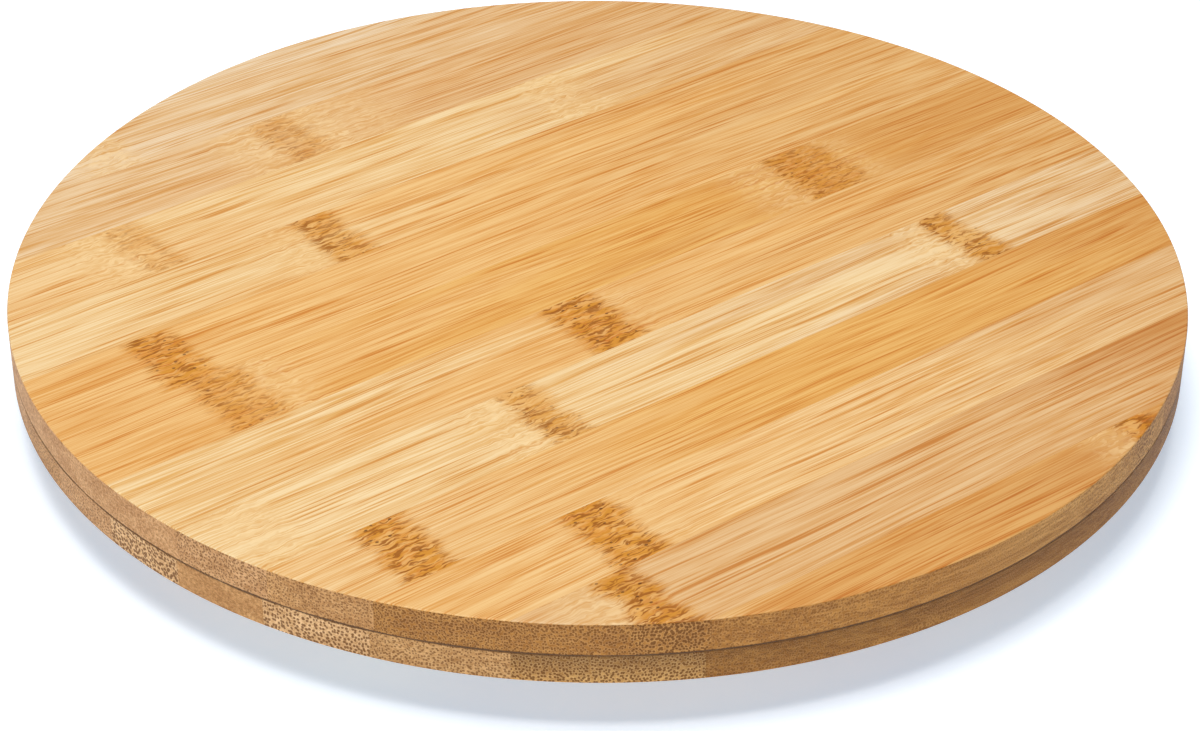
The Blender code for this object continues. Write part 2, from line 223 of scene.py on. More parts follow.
# The lower ply: its own end grain over the same joints, and its underside
LOWER_STRIPS = [
    (141.0, (TAN, SAND, SAND), [], TAN_ENDS, (0.88, 0.6, 0.0)),
    (116.0, (HONEY, STRAW, TAN), [(40, 5, 0.8, -0.8)], TAN_ENDS, (0.88, 0.6, 0.0)),
    (90.5, (SAND, GOLD, AMBER), [(-70, 5, 0.8, 0.5), (95, 6, 0.6, 0.0)], TAN_ENDS, (0.88, 0.5, 0.0)),
    (64.5, (STRAW, CREAM, STRAW), [(12, 5, 0.6, -0.8)], ROSE_ENDS, (0.88, 0.6, 0.0)),
    (40.0, (PEACH, TAN, HONEY), [(-104, 6, 0.9, 0.4), (118, 5, 0.5, 0.5)], ROSE_ENDS, (0.88, 0.8, 0.0)),
    (15.5, (HONEY, HONEY, STRAW), [(64, 6, 0.9, -0.6)], TAN_ENDS, (0.8, 0.8, 0.0)),
    (-9.5, (TAN, SAND, GOLD), [(-38, 5, 0.7, 0.8)], ROSE_ENDS, (0.8, 0.7, 0.0)),
    (-33.5, (GOLD, AMBER, SAND), [(-121, 5, 0.6, 0.5), (102, 6, 0.9, 0.3)], PALE_ENDS, (0.95, 1.5, 0.0)),
    (-57.5, (STRAW, HONEY, HONEY), [(22, 5, 0.8, -0.9)], TAN_ENDS, (0.62, 0.25, 0.0)),
    (-81.5, (CREAM, STRAW, HONEY), [(-84, 5, 0.5, -0.7), (72, 5, 0.7, 0.4)], PALE_ENDS, (0.92, 1.2, 0.0)),
    (-106.5, (TAN, SAND, AMBER), [(-14, 6, 0.9, 0.5)], (END_LIGHT, END_LIGHT), (0.78, 0.8, 0.0)),
    (-132.0, (HONEY, GOLD, AMBER), [(44, 5, 0.9, -0.5)], (END_CHESTNUT, END_BROWN), (0.8, 1.0, 0.9)),
    (-150.0, (AMBER, GOLD, SAND), [(-20, 5, 0.6, 0.4)], (END_DARK, END_DARK), (0.75, 0.6, 0.55)),
]
KNUCKLES_PER_STRIP = 3
NO_KNUCKLE = (900, 1, 0, 0)

# Patterns, in millimetres: how far a knuckle's ends fray and wander, where its swirl ends, how far a
# strip's change of tone wanders, and where along the board it passes from tone to tone
FRAY = 16
WANDER = 7
SWIRL_END = (24, 9)
TONE_WANDER = 260
LEFT_TO_MIDDLE = (-130, 10)
MIDDLE_TO_RIGHT = (-10, 130)

# Fibres, broad, medium, fine and hair-like: how much each pattern varies in a millimetre along and
# across the grain, and its weight
FIBRES = [(0.011, 0.17, 0.8), (0.016, 0.45, 0.7), (0.022, 1.05, 1.6), (0.04, 2.8, 2.9)]


def box_of(node):
    """Lowest corner, highest corner and middle of a CAD node."""
    low, high = (Vector(corner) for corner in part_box(node))
    return low, high, (low + high) / 2


upper_low, upper_high, _ = box_of("upper_ply")
lower_low, lower_high, _ = box_of("lower_ply")
board_radius = upper_high.x


class Wire:
    """An output socket that takes part in sums: an expression on wires adds its Math nodes."""

    def __init__(self, wiring, socket):
        self.wiring = wiring
        self.socket = socket

    def _math(self, operation, *values):
        return self.wiring.node("ShaderNodeMath", {"operation": operation}, dict(enumerate(values)))

    def __add__(self, other):
        return self._math("ADD", self, other)

    def __radd__(self, other):
        return self._math("ADD", other, self)

    def __sub__(self, other):
        return self._math("SUBTRACT", self, other)

    def __rsub__(self, other):
        return self._math("SUBTRACT", other, self)

    def __mul__(self, other):
        return self._math("MULTIPLY", self, other)

    def __rmul__(self, other):
        return self._math("MULTIPLY", other, self)

    def __truediv__(self, other):
        return self._math("DIVIDE", self, other)

    def __rtruediv__(self, other):
        return self._math("DIVIDE", other, self)

    def __abs__(self):
        return self._math("ABSOLUTE", self)

    def sign(self):
        return self._math("SIGN", self)

    def below(self, other):
        return self._math("LESS_THAN", self, other)

    def max(self, other):
        return self._math("MAXIMUM", self, other)

    def min(self, other):
        return self._math("MINIMUM", self, other)

    def step(self, start, end):
        """A smooth step from 0 at start to 1 at end, or the other way round when end is lower."""
        if start > end:
            return 1 - self.step(end, start)
        settings = {"interpolation_type": "SMOOTHSTEP"}
        inputs = {"Value": self, "From Min": start, "From Max": end}
        return self.wiring.node("ShaderNodeMapRange", settings, inputs)


class Wiring:
    """Adds nodes to a tree and links them."""

    def __init__(self, tree):
        self.tree = tree

    def node(self, kind, settings=None, inputs=None, output=0):
        node = self.tree.nodes.new(kind)
        for name, value in (settings or {}).items():
            setattr(node, name, value)
        for key, value in (inputs or {}).items():
            self.feed(node.inputs[key], value)
        return Wire(self, node.outputs[output])

    def feed(self, socket, value):
        if isinstance(value, Wire):
            self.tree.links.new(value.socket, socket)
        elif isinstance(value, tuple) and socket.type == "RGBA":
            socket.default_value = (*value, 1.0)
        else:
            socket.default_value = value


class Finish(Wiring):
    """A material with a Principled shader, and the patterns that its colours are made of."""

    def __init__(self, name, **constants):
        self.material = bpy.data.materials.new(name)
        self.material.use_nodes = True
        super().__init__(self.material.node_tree)
        self.shader = self.tree.nodes["Principled BSDF"]
        for key, value in constants.items():
            self.feed(self.shader.inputs[key.replace("_", " ").title()], value)

    def place(self):
        """Object coordinates in millimetres, as three wires."""
        spot = self.node("ShaderNodeTexCoord", output="Object")
        spot = self.node("ShaderNodeVectorMath", {"operation": "SCALE"}, {0: spot, "Scale": MM})
        return self.split(spot)

    def from_axis(self):
        """The distance from the turntable's axis in millimetres."""
        x, y, _ = self.place()
        inputs = {0: self.join(x, y, 0.0)}
        return self.node("ShaderNodeVectorMath", {"operation": "LENGTH"}, inputs, "Value")

    def split(self, vector):
        parts = self.node("ShaderNodeSeparateXYZ", inputs={0: vector})
        return [Wire(self, socket) for socket in parts.socket.node.outputs]

    def join(self, x, y, z):
        return self.node("ShaderNodeCombineXYZ", inputs={0: x, 1: y, 2: z})

    def attribute(self, name, output="Color"):
        return self.node("ShaderNodeAttribute", {"attribute_name": name}, output=output)

    def noise(self, x, y, z, detail=2.0, roughness=0.5, distortion=0.0):
        inputs = {
            "Vector": self.join(x, y, z),
            "Scale": 1.0,
            "Detail": detail,
            "Roughness": roughness,
            "Distortion": distortion,
        }
        return self.node("ShaderNodeTexNoise", inputs=inputs)

    def cells(self, x, y, z, dimensions="3D", randomness=1.0):
        """The distance to the middle of the nearest cell."""
        settings = {"voronoi_dimensions": dimensions}
        inputs = {"Vector": self.join(x, y, z), "Scale": 1.0, "Randomness": randomness}
        return self.node("ShaderNodeTexVoronoi", settings, inputs, "Distance")

    def mix(self, factor, first, second, blend="MIX"):
        settings = {"data_type": "RGBA", "blend_type": blend}
        inputs = {"Factor": factor, "A": first, "B": second}
        node = self.tree.nodes.new("ShaderNodeMix")
        for name, value in settings.items():
            setattr(node, name, value)
        sockets = {s.name: s for s in node.inputs if s.enabled}
        for key, value in inputs.items():
            self.feed(sockets[key], value)
        return Wire(self, next(s for s in node.outputs if s.enabled))

    def bump(self, height, distance):
        inputs = {"Height": height, "Distance": distance, "Strength": 1.0}
        return self.node("ShaderNodeBump", inputs=inputs)

    def finish(self, **wires):
        for key, value in wires.items():
            self.feed(self.shader.inputs[key.replace("_", " ").title()], value)
        return self.material


def knuckle_masks(work, u, v, strip):
    """The dark bands and the swirls of the knuckles that a strip may have, and the bands' left edges."""
    ragged = (work.noise(0.0, v * 1.1, strip * 9, detail=3, roughness=0.75) - 0.5) * FRAY
    drift = (work.noise(u * 0.04, v * 0.16, strip * 9, detail=1) - 0.5) * WANDER
    swirls = work.split(work.attribute("swirls", "Vector"))
    band = 0.0
    swirl = 0.0
    edge = 0.0
    for index in range(KNUCKLES_PER_STRIP):
        where, half_width, dark = work.split(work.attribute(f"knuckle_{index}", "Vector"))
        along = u - where + drift
        band = ((abs(along + ragged * 0.7) - half_width).step(3.5, -2.5) * dark).max(band)
        edge = (abs(along + half_width * 0.7 + ragged * 0.6).step(2.6, 0.6) * dark).max(edge)
        beside = along * swirls[index].sign()
        curled = beside.step(-3, 3) * beside.step(*SWIRL_END) * abs(swirls[index])
        swirl = curled.max(swirl)
    return band, swirl, edge


def bamboo_face(name, roughness):
    """Lacquered bamboo, cut along the grain."""
    work = Finish(name)
    work.shader.inputs["Specular IOR Level"].default_value = FACE_GLOSS
    u, v, z = work.place()
    strip = work.attribute("strip", "Fac")
    layer = strip * 7.3 + z * 0.6
    band, swirl, edge = knuckle_masks(work, u, v, strip)

    # The grain leans a little, and curls at a knuckle
    lean = (work.noise(u * 0.01, v * 0.03, layer, detail=1) - 0.5) * 4
    curl = (work.noise(u * 0.2, v * 0.3, layer, detail=2) - 0.5) * 5
    across = v + lean + curl * swirl.max(band * 0.7)

    # The strip's own tone, which changes along the board
    drift = u + (work.noise(u * 0.005, across * 0.08, layer, detail=1) - 0.5) * TONE_WANDER
    tone_left, tone_middle, tone_right = (
        work.attribute(label) for label in ("tone_left", "tone_middle", "tone_right")
    )
    tone = work.mix(drift.step(*LEFT_TO_MIDDLE), tone_left, tone_middle)
    tone = work.mix(drift.step(*MIDDLE_TO_RIGHT), tone, tone_right)

    # Fibres, with patches of short dashes and a few thin dark lines
    grain = [work.noise(u * along, across * over, layer, detail=1) for along, over, _ in FIBRES]
    _, medium, fine, hairs = grain
    dashes = work.noise(u * 0.09, across * 0.8, layer, detail=2)
    patch = work.noise(u * 0.02, v * 0.03, layer + 40, detail=1).step(0.4, 0.65)
    fibres = sum((pattern - 0.5) * weight for pattern, (_, _, weight) in zip(grain, FIBRES))
    fibres = fibres + (dashes - 0.5) * (0.3 + patch * 1.1)
    shade = fibres.step(-0.85, 0.85)
    tint = work.mix(shade, FIBRE_PALE, FIBRE_DEEP)
    colour = work.mix(1.0, tone, tint, "MULTIPLY")
    lines = (fine * 0.4 + hairs * 0.6).step(0.55, 0.62) * medium.step(0.40, 0.56)
    colour = work.mix(lines * 0.8, colour, LINE_DEEP, "MULTIPLY")

    # Pale swirls beside the knuckles
    worms = work.noise(u * 0.3, across * 1.1, layer, detail=1, distortion=0.6)
    colour = work.mix(swirl * 0.3, colour, CREAM)
    colour = work.mix(swirl * worms.step(0.52, 0.40) * 0.45, colour, SWIRL_PALE)
    colour = work.mix(swirl * worms.step(0.52, 0.62) * 0.45, colour, SWIRL_BROWN)

    # The knuckles: a stain, flecks in it, and small pits
    flecks = work.noise(u * 0.15, across * 0.75, layer, detail=2, roughness=0.6, distortion=0.3)
    dabs = work.noise(u * 0.24, across * 1.3, layer + 9, detail=2, roughness=0.6)
    colour = work.mix(band * 0.85, colour, KNUCKLE_STAIN, "MULTIPLY")
    colour = work.mix(band * flecks.step(0.48, 0.36) * 0.7, colour, HONEY)
    colour = work.mix(band * flecks.step(0.47, 0.60) * 0.8, colour, KNUCKLE_BROWN)
    deep = (band + edge * 0.4).min(1.0) * dabs.step(0.50, 0.60)
    colour = work.mix(deep * 0.9, colour, KNUCKLE_DARK)
    pits = work.cells(u * 0.3, v * 0.42, layer).step(0.17, 0.09) * band
    colour = work.mix(pits * 0.8, colour, PIT_DARK)

    height = fine * 0.3 + flecks * band * 0.2 - pits * 1.5
    return work.finish(
        base_color=colour,
        roughness=roughness + shade * 0.12,
        normal=work.bump(height, FIBRE_RELIEF),
    )


def bamboo_edge(name, skin, thickness):
    """Bamboo cut across the grain: dots of dark fibre, closer towards the skin side of the ply."""
    work = Finish(name)
    work.shader.inputs["Specular IOR Level"].default_value = END_GRAIN_GLOSS
    radius = board_radius * MM
    u, v, z = work.place()
    strip = work.attribute("strip", "Fac")
    pitch, strength, shade = work.split(work.attribute("dots", "Vector"))
    band, _, _ = knuckle_masks(work, u, v, strip)
    depth = abs(z - skin) / thickness

    # Dots of fibre, each in a pale sheath, bigger near the skin and fainter where the rim follows the grain
    round_rim = work.node("ShaderNodeMath", {"operation": "ARCTAN2"}, {0: v, 1: u}) * radius
    wander = (work.noise(round_rim * 0.12, z * 0.12, strip, detail=1) - 0.5) * 3
    rows = (z + wander * 0.4) / pitch
    spot = work.cells((round_rim + wander) / pitch + strip * 31, rows * 0.9, 0.0, "2D", 0.8)
    across_grain = (abs(u) / radius).step(0.0, 0.5) * 0.55 + 0.45
    reach = 0.25 + strength * 0.13 - depth * 0.10 + band * 0.10
    dots = (spot - reach).step(0.05, -0.08) * across_grain
    sheath = abs(spot - reach - 0.14).step(0.12, 0.0)

    # The strip's own tone, cloudy and streaked, and the glue that was squeezed out of the joint
    tone_left = work.attribute("edge_tone_left")
    tone_right = work.attribute("edge_tone_right")
    tone = work.mix(u.step(-25, 25), tone_left, tone_right)
    cloud = work.noise(u * 0.02, v * 0.12, z * 0.25 + strip, detail=2)
    streak = work.noise(u * 0.04, v * 1.1, z * 1.4 + strip, detail=3, roughness=0.65)
    tint = work.mix(cloud.step(0.35, 0.65), CLOUD_PALE, CLOUD_DEEP)
    colour = work.mix(1.0, tone, tint, "MULTIPLY")
    tint = work.mix(streak.step(0.3, 0.7), STREAK_PALE, STREAK_DEEP)
    colour = work.mix(1.0, colour, tint, "MULTIPLY")
    colour = work.mix(depth * shade, colour, INNER_SHADE, "MULTIPLY")
    colour = work.mix(sheath * strength * 0.25, colour, SHEATH_PALE)
    colour = work.mix(dots * (strength + band).min(1.0) * 0.8, colour, BUNDLE_DARK)
    squeeze = work.noise(u * 0.05, v * 0.05, 7.0, detail=2)
    glue = (depth - 1 + streak * 0.05 + squeeze * 0.03).step(0.0, 0.03)
    colour = work.mix(glue * squeeze.step(0.25, 0.5) * 0.85, colour, GLUE_BROWN)
    return work.finish(
        base_color=colour,
        roughness=0.55 + streak * 0.2,
        normal=work.bump(streak * 0.4 - dots, END_GRAIN_RELIEF),
    )


def dark_glue():
    """Set glue, a little cloudy."""
    work = Finish("dark_glue")
    x, y, z = work.place()
    cloud = work.noise(x * 0.2, y * 0.2, z * 0.2, detail=3)
    return work.finish(
        base_color=work.mix(cloud, tuple(c * 0.9 for c in DARK_GLUE), DARK_GLUE),
        roughness=0.5 + (cloud - 0.5) * 0.2,
    )


def new_object(name, mesh):
    """A scene object that shows the mesh."""
    made = bpy.data.objects.new(name, mesh)
    bpy.context.scene.collection.objects.link(made)
    return made


def mesh_from(bm, name):
    """Ends an edit mesh and returns it as a plain one."""
    mesh = bpy.data.meshes.new(name)
    bm.to_mesh(mesh)
    bm.free()
    return mesh


def flatten(made, sharp_angle=SHARP_ANGLE):
    """Turns an object's evaluated shape into its plain mesh, smooth but for its sharp edges."""
    evaluated = made.evaluated_get(bpy.context.evaluated_depsgraph_get())
    mesh = bpy.data.meshes.new_from_object(evaluated)
    made.modifiers.clear()
    made.data = mesh
    mesh.shade_smooth()
    mesh.set_sharp_from_angle(angle=sharp_angle)


def run_tree(made, tree, values):
    """Adds a Geometry Nodes modifier and sets its inputs by their identifiers."""
    modifier = made.modifiers.new(tree.name, "NODES")
    modifier.node_group = tree
    for item in tree.interface.items_tree:
        if item.in_out == "INPUT" and item.name in values:
            modifier[item.identifier] = values[item.name]


def new_tree(name, inputs):
    """A Geometry Nodes tree with named inputs. Returns it with its wiring and input wires."""
    tree = bpy.data.node_groups.new(name, "GeometryNodeTree")
    tree.interface.new_socket("Geometry", in_out="INPUT", socket_type="NodeSocketGeometry")
    for label, kind in inputs.items():
        tree.interface.new_socket(label, in_out="INPUT", socket_type=f"NodeSocket{kind}")
    tree.interface.new_socket("Geometry", in_out="OUTPUT", socket_type="NodeSocketGeometry")
    wiring = Wiring(tree)
    entry = tree.nodes.new("NodeGroupInput")
    wires = {s.name: Wire(wiring, s) for s in entry.outputs if s.name}
    return tree, wiring, wires


def painted(wiring, geometry, material, where=True):
    """Gives the faces where the selection holds a material."""
    inputs = {"Geometry": geometry, "Selection": where, "Material": material}
    return wiring.node("GeometryNodeSetMaterial", inputs=inputs)


def end_tree(wiring, geometry):
    """Ends a Geometry Nodes tree with the geometry."""
    wiring.feed(wiring.tree.nodes.new("NodeGroupOutput").inputs["Geometry"], geometry)


def glued_strips_tree():
    """Saws a disc into strips, with one thin cut along X at each point of the joint lines."""
    inputs = {
        "Joint Lines": "Object",
        "Joint Width": "Float",
        "Length": "Float",
        "Depth": "Float",
        "Face Finish": "Material",
        "Edge Finish": "Material",
    }
    tree, wiring, wires = new_tree("glued_strips", inputs)
    lines = wiring.node(
        "GeometryNodeObjectInfo", inputs={"Object": wires["Joint Lines"]}, output="Geometry"
    )
    size = wiring.node(
        "ShaderNodeCombineXYZ",
        inputs={"X": wires["Length"], "Y": wires["Joint Width"], "Z": wires["Depth"]},
    )
    blade = wiring.node("GeometryNodeMeshCube", inputs={"Size": size})
    blades = wiring.node("GeometryNodeInstanceOnPoints", inputs={"Points": lines, "Instance": blade})
    blades = wiring.node("GeometryNodeRealizeInstances", inputs={"Geometry": blades})
    sawn = wiring.node(
        "GeometryNodeMeshBoolean",
        {"operation": "DIFFERENCE", "solver": "MANIFOLD"},
        {"Mesh 1": wires["Geometry"], "Mesh 2": blades},
    )
    facing = wiring.node("GeometryNodeInputNormal")
    upright = wiring.node("ShaderNodeSeparateXYZ", inputs={0: facing}, output="Z")
    solid = wiring.node("GeometryNodeRealizeInstances", inputs={"Geometry": sawn})
    solid = painted(wiring, solid, wires["Face Finish"])
    solid = painted(wiring, solid, wires["Edge Finish"], abs(upright).below(EDGE_NORMAL))
    end_tree(wiring, solid)
    return tree


def bored_tree():
    """Cuts the same cutter out of a piece at every point, turned as the point says."""
    inputs = {"Places": "Object", "Cutter": "Object", "Finish": "Material"}
    tree, wiring, wires = new_tree("bored", inputs)
    cutters = set_at_places(wiring, wires["Places"], wires["Cutter"])
    bored = wiring.node(
        "GeometryNodeMeshBoolean",
        {"operation": "DIFFERENCE", "solver": "MANIFOLD"},
        {"Mesh 1": wires["Geometry"], "Mesh 2": cutters},
    )
    bored = wiring.node("GeometryNodeRealizeInstances", inputs={"Geometry": bored})
    end_tree(wiring, painted(wiring, bored, wires["Finish"]))
    return tree


def repeated_tree():
    """Sets the same part at every point."""
    inputs = {"Places": "Object", "Part": "Object", "Finish": "Material"}
    tree, wiring, wires = new_tree("repeated", inputs)
    parts = set_at_places(wiring, wires["Places"], wires["Part"])
    end_tree(wiring, painted(wiring, parts, wires["Finish"]))
    return tree


def set_at_places(wiring, places, part):
    """Copies of a part at an object's points, each turned by the point's turn."""
    turn = wiring.node(
        "GeometryNodeInputNamedAttribute", {"data_type": "FLOAT_VECTOR"}, {"Name": "turn"}
    )
    points, shape = (
        wiring.node("GeometryNodeObjectInfo", inputs={"Object": thing}, output="Geometry")
        for thing in (places, part)
    )
    inputs = {"Points": points, "Instance": shape, "Rotation": turn}
    copies = wiring.node("GeometryNodeInstanceOnPoints", inputs=inputs)
    return wiring.node("GeometryNodeRealizeInstances", inputs={"Geometry": copies})


def disc_mesh(name, low, high, arris_at):
    """A round board, eased along the rim at the height arris_at."""
    bm = bmesh.new()
    bmesh.ops.create_cone(
        bm,
        cap_ends=True,
        segments=BOARD_FACETS,
        radius1=board_radius,
        radius2=board_radius,
        depth=high - low,
        matrix=Matrix.Translation((0, 0, (low + high) / 2)),
    )
    rim = [e for e in bm.edges if all(abs(v.co.z - arris_at) < ARRIS / 4 for v in e.verts)]
    bmesh.ops.bevel(
        bm, geom=rim, offset=ARRIS, segments=ARRIS_FACETS, profile=0.5, affect="EDGES"
    )
    return mesh_from(bm, name)


def mark_strips(mesh, strips):
    """Gives every face the number, tones, knuckles and end grain of the strip that it is on."""
    starts, tones, knuckles, edge_tones, dots = zip(*strips)
    middles = np.empty(len(mesh.polygons) * 3)
    mesh.polygons.foreach_get("center", middles)
    across = middles.reshape(-1, 3)[:, 1] * MM
    number = np.minimum((across[:, None] < np.array(starts)).sum(1), len(strips) - 1)
    put(mesh, "strip", "FLOAT", "value", number)
    put(mesh, "dots", "FLOAT_VECTOR", "vector", np.array(dots)[number])
    for spot, label in enumerate(("edge_tone_left", "edge_tone_right")):
        put(mesh, label, "FLOAT_VECTOR", "vector", np.array(edge_tones)[:, spot][number])
    for spot, label in enumerate(("tone_left", "tone_middle", "tone_right")):
        put(mesh, label, "FLOAT_VECTOR", "vector", np.array(tones)[:, spot][number])
    rows = [(list(k) + [NO_KNUCKLE] * KNUCKLES_PER_STRIP)[:KNUCKLES_PER_STRIP] for k in knuckles]
    rows = np.array(rows, float)
    for spot in range(KNUCKLES_PER_STRIP):
        put(mesh, f"knuckle_{spot}", "FLOAT_VECTOR", "vector", rows[:, spot, :3][number])
    put(mesh, "swirls", "FLOAT_VECTOR", "vector", rows[:, :, 3][number])


def put(mesh, label, kind, field, values):
    """Stores a value for each face under a label."""
    attribute = mesh.attributes.new(label, kind, "FACE")
    attribute.data.foreach_set(field, np.asarray(values, float).ravel())


def make_ply(name, node, low, high, skin, strips, face, edge, pilots=None):
    """A ply of glued strips. The skin is the height of its outer face, whose rim is eased, and the
    pilots are the drill and the places of its screw holes."""
    lines = bpy.data.meshes.new("joint_lines")
    middle = (low + high) / 2
    lines.from_pydata([(0, strip[0] / MM, middle) for strip in strips[:-1]], [], [])
    joint_lines = new_object("joint_lines", lines)
    ply = new_object(name, disc_mesh(name, low, high, skin))
    if pilots:
        bored(ply, *pilots, edge)
    run_tree(
        ply,
        strips_tree,
        {
            "Joint Lines": joint_lines,
            "Joint Width": JOINT_WIDTH,
            "Length": board_radius * 3,
            "Depth": (high - low) * 2,
            "Face Finish": face,
            "Edge Finish": edge,
        },
    )
    flatten(ply, BOARD_SHARP_ANGLE)
    bpy.data.objects.remove(joint_lines)
    for polygon in ply.data.polygons:
        if abs(polygon.normal.z) > FLAT_NORMAL:
            polygon.use_smooth = False
    mark_strips(ply.data, strips)
    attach(ply, "tray")
    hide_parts(node)
    return ply


def turned_aluminium():
    """Clear anodised aluminium with fine lathe lines round the axis."""
    work = Finish("turned_aluminium", metallic=1.0)
    x, y, z = work.place()
    from_axis = work.from_axis()
    lines = work.noise(from_axis * 7, z * 7, 0.0, detail=3, roughness=0.7)
    bands = work.noise(from_axis * 0.8, z * 0.8, 5.0, detail=1)
    cloud = work.noise(x * 0.06, y * 0.06, z * 0.2, detail=3)
    shade = lines * 0.5 + bands * 0.25 + cloud * 0.25
    return work.finish(
        base_color=work.mix(shade.step(0.3, 0.7), (0.66, 0.67, 0.70), (0.84, 0.85, 0.86)),
        roughness=0.26 + shade.step(0.65, 0.35) * 0.18,
        normal=work.bump(lines, METAL_RELIEF),
    )


def polished_steel():
    """Ball steel, with a few marks of rolling."""
    work = Finish("ball_steel", metallic=1.0)
    x, y, z = work.place()
    marks = work.noise(x * 1.2, y * 1.2, z * 1.2, detail=3, distortion=1.0)
    return work.finish(
        base_color=work.mix(marks.step(0.4, 0.7), (0.78, 0.79, 0.80), (0.66, 0.67, 0.69)),
        roughness=0.08 + marks.step(0.5, 0.7) * 0.12,
    )


def zinc_plate():
    """Bright zinc, with the faint blue and straw tints of its passivation."""
    work = Finish("zinc_plate", metallic=1.0)
    x, y, z = work.place()
    tint = work.noise(x * 0.35, y * 0.35, z * 0.5, detail=2)
    grain = work.noise(x * 6, y * 6, z * 6, detail=2)
    colour = work.mix(tint.step(0.35, 0.65), (0.66, 0.70, 0.77), (0.76, 0.72, 0.60))
    return work.finish(
        base_color=work.mix(grain.step(0.5, 0.75) * 0.3, colour, (0.5, 0.5, 0.5)),
        roughness=0.24 + grain * 0.16,
        normal=work.bump(grain, METAL_RELIEF),
    )


def natural_nylon():
    """Uncoloured nylon, a little uneven, with the fine grain of its mould."""
    work = Finish("natural_nylon")
    x, y, z = work.place()
    cloud = work.noise(x * 0.15, y * 0.15, z * 0.4, detail=2)
    grain = work.noise(x * 5, y * 5, z * 5, detail=2)
    return work.finish(
        base_color=work.mix(cloud.step(0.35, 0.65), (0.80, 0.78, 0.70), (0.86, 0.85, 0.80)),
        roughness=0.38 + grain * 0.2,
        normal=work.bump(grain, NYLON_RELIEF),
    )


def foot_rubber():
    """Matt black rubber, greyer where it rubs on the table."""
    work = Finish("foot_rubber")
    x, y, z = work.place()
    grain = work.noise(x * 4, y * 4, z * 4, detail=3, roughness=0.6)
    scuffs = work.noise(x * 0.8, y * 0.8, z * 0.8, detail=3)
    rubbed = z.step(FOOT_ROUNDING * MM, 0.0) * scuffs.step(0.4, 0.65)
    colour = work.mix(grain, (0.014, 0.014, 0.015), (0.034, 0.034, 0.036))
    return work.finish(
        base_color=work.mix(rubbed * 0.6, colour, (0.10, 0.10, 0.10)),
        roughness=0.62 + grain * 0.25,
        normal=work.bump(grain, RUBBER_RELIEF),
    )


def lathe(name, profile, steps, radius_at=None):
    """Turns (radius, height) points about +Z: a ring, or a solid where the ends are on the axis."""
    is_ring = profile[0][0] > 0
    bm = bmesh.new()
    rows = []
    for radius, height in profile:
        if radius == 0:
            rows.append([bm.verts.new((0, 0, height))] * steps)
            continue
        row = []
        for step in range(steps):
            angle = (step + 0.5) * math.tau / steps
            reach = radius_at(radius, height, angle) if radius_at else radius
            row.append(bm.verts.new((reach * math.cos(angle), reach * math.sin(angle), height)))
        rows.append(row)
    for low, high in zip(rows, rows[1:] + rows[:1] if is_ring else rows[1:]):
        for step in range(steps):
            after = (step + 1) % steps
            corners = dict.fromkeys((low[step], low[after], high[after], high[step]))
            bm.faces.new(corners)
    bmesh.ops.recalc_face_normals(bm, faces=bm.faces)
    return new_object(name, mesh_from(bm, name))


def arc(radius, height, size, start, end, count=CURVE_FACETS):
    """Points on an arc round (radius, height), from angle start to end in degrees."""
    angles = [math.radians(start + (end - start) * k / count) for k in range(count + 1)]
    return [(radius + size * math.cos(a), height + size * math.sin(a)) for a in angles]


def places_at(name, spots, turns=None):
    """A helper object with a point at each spot and its turn about the axes."""
    mesh = bpy.data.meshes.new(name)
    mesh.from_pydata(spots, [], [])
    turn = mesh.attributes.new("turn", "FLOAT_VECTOR", "POINT")
    turns = turns or [(0, 0, 0)] * len(spots)
    turn.data.foreach_set("vector", np.array(turns, float).ravel())
    return new_object(name, mesh)


def radially(spots):
    """Turns about +Z that point each spot's +X away from the axis."""
    return [(0, 0, math.atan2(y, x)) for x, y, _ in spots]


def bored(made, cutter, places, finish):
    """Cuts the cutter out of a piece at the places."""
    run_tree(made, boring, {"Places": places, "Cutter": cutter, "Finish": finish})


def repeated(name, part, places, finish):
    """Copies of a part at the places, as one piece."""
    made = new_object(name, bpy.data.meshes.new(name))
    run_tree(made, repeating, {"Places": places, "Part": part, "Finish": finish})
    return made


def fitted(made, helpers, body, slot, *nodes):
    """Makes a piece's shape final, gives it its body and hides the CAD nodes that it replaces; the slot is
    not used.
    """
    flatten(made)
    for helper in helpers:
        bpy.data.objects.remove(helper)
    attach(made, body)
    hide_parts(*nodes)


def nodes_named(start):
    """The CAD nodes whose names start this way, in order."""
    return sorted(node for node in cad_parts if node.startswith(start))


def middles_of(nodes, height=None):
    """The middle of each node, at its own height or at the one given."""
    spots = [box_of(node)[2] for node in nodes]
    return [(spot.x, spot.y, spot.z if height is None else height) for spot in spots]


# The glue line between the plies, a little inside the rim
glue_bm = bmesh.new()
bmesh.ops.create_cone(
    glue_bm,
    cap_ends=True,
    segments=BOARD_FACETS,
    radius1=board_radius - GLUE_INSET,
    radius2=board_radius - GLUE_INSET,
    depth=upper_low.z - lower_high.z,
    matrix=Matrix.Translation((0, 0, (upper_low.z + lower_high.z) / 2)),
)
glue = new_object("glue_line", mesh_from(glue_bm, "glue_line"))
glue.data.materials.append(dark_glue())
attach(glue, "tray")

boring = bored_tree()
repeating = repeated_tree()
aluminium = turned_aluminium()
zinc = zinc_plate()

# The balls' places, which the two rings and the cage follow
balls = [node for node in nodes_named("ball_") if node[-2:].isdigit()]
ball_low, ball_high, ball_middle = box_of(balls[0])
ball_radius = (ball_high.z - ball_low.z) / 2
ball_circle = math.hypot(ball_middle.x, ball_middle.y)
race_height = ball_middle.z
race_radius = ball_radius + RACE_CLEARANCE


